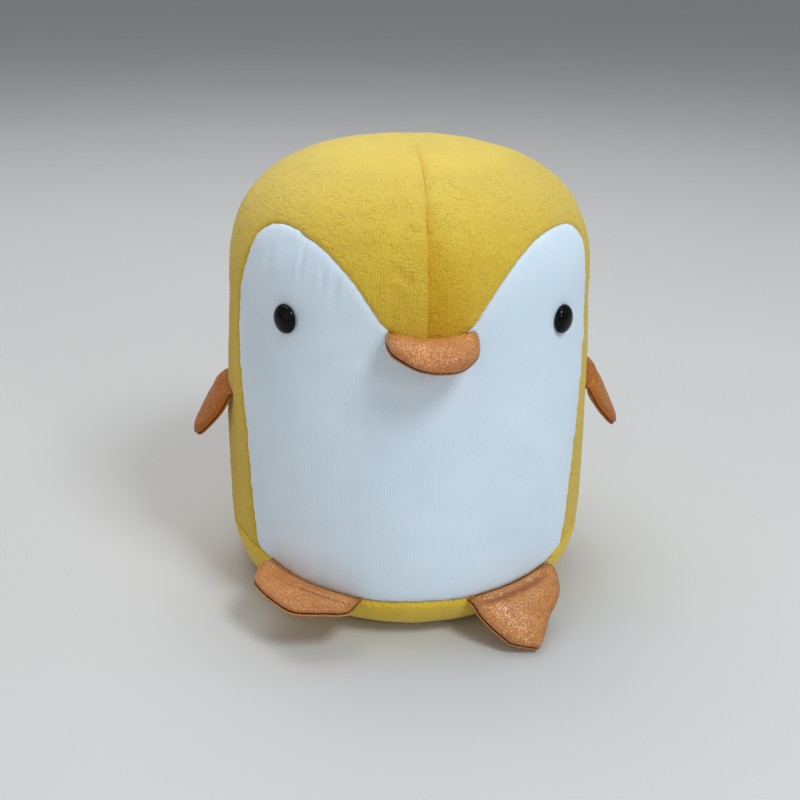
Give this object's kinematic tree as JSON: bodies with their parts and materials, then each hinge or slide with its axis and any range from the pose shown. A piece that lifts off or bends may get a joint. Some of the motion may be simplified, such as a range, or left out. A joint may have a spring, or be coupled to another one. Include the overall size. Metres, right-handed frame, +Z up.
{
  "type": "plush penguin",
  "caption": "Stuffed cylindrical penguin with a plush body, knit front, dome eyes and padded leatherette beak, flippers and feet that flex at their sewn roots.",
  "frame": {"origin": "centre of the flat underside of the body, where it rests", "axes": "+Z up through the crown, -Y the way the penguin faces, +X its own left"},
  "size_m": [0.202, 0.186, 0.205],
  "materials": {
    "plush": "short pile",
    "knit": "smooth knit",
    "leatherette": "grained, soft gloss",
    "thread": "twisted thread",
    "filling": "loose fibre",
    "wadding": "felted fibre",
    "washer": "moulded",
    "eye": "polished"
  },
  "bodies": {
    "torso": {"side_panel_left": "plush", "side_panel_right": "plush", "front_panel": "knit", "base_panel": "plush", "body_filling": "filling", "base_seam_thread": "thread", "eye_left": "eye", "eye_right": "eye", "eye_washer_left": "washer", "eye_washer_right": "washer"},
    "beak": {"beak_upper": "leatherette", "beak_lower": "leatherette", "beak_wadding": "wadding"},
    "flipper_left": {"flipper_left_outer": "leatherette", "flipper_left_inner": "leatherette", "flipper_left_wadding": "wadding"},
    "flipper_right": {"flipper_right_outer": "leatherette", "flipper_right_inner": "leatherette", "flipper_right_wadding": "wadding"},
    "foot_left": {"foot_left_upper": "leatherette", "foot_left_sole": "leatherette", "foot_left_wadding": "wadding"},
    "foot_right": {"foot_right_upper": "leatherette", "foot_right_sole": "leatherette", "foot_right_wadding": "wadding"}
  },
  "joints": [
    {"name": "beak_flex", "type": "hinge", "parent": "torso", "child": "beak", "pos_m": [0, -0.0845, 0.143], "axis": [-1, 0, 0], "range_deg": [-35, 33], "stiffness_Nm_per_rad": 0.01},
    {"name": "flipper_left_flex", "type": "hinge", "parent": "torso", "child": "flipper_left", "pos_m": [0.08635, -0.0106, 0.098], "axis": [-0.1219, -0.9925, 0], "range_deg": [-10, 82], "stiffness_Nm_per_rad": 0.01},
    {"name": "flipper_right_flex", "type": "hinge", "parent": "torso", "child": "flipper_right", "pos_m": [-0.08635, -0.0106, 0.098], "axis": [-0.1219, 0.9925, 0], "range_deg": [-10, 82], "stiffness_Nm_per_rad": 0.01},
    {"name": "foot_left_flex", "type": "hinge", "parent": "torso", "child": "foot_left", "pos_m": [0.04673, -0.07336, 0.0225], "axis": [-0.8434, -0.5373, 0], "range_deg": [0, 58], "stiffness_Nm_per_rad": 0.01},
    {"name": "foot_right_flex", "type": "hinge", "parent": "torso", "child": "foot_right", "pos_m": [-0.04673, -0.07336, 0.0225], "axis": [-0.8434, 0.5373, 0], "range_deg": [-50, 8], "stiffness_Nm_per_rad": 0.01}
  ]
}
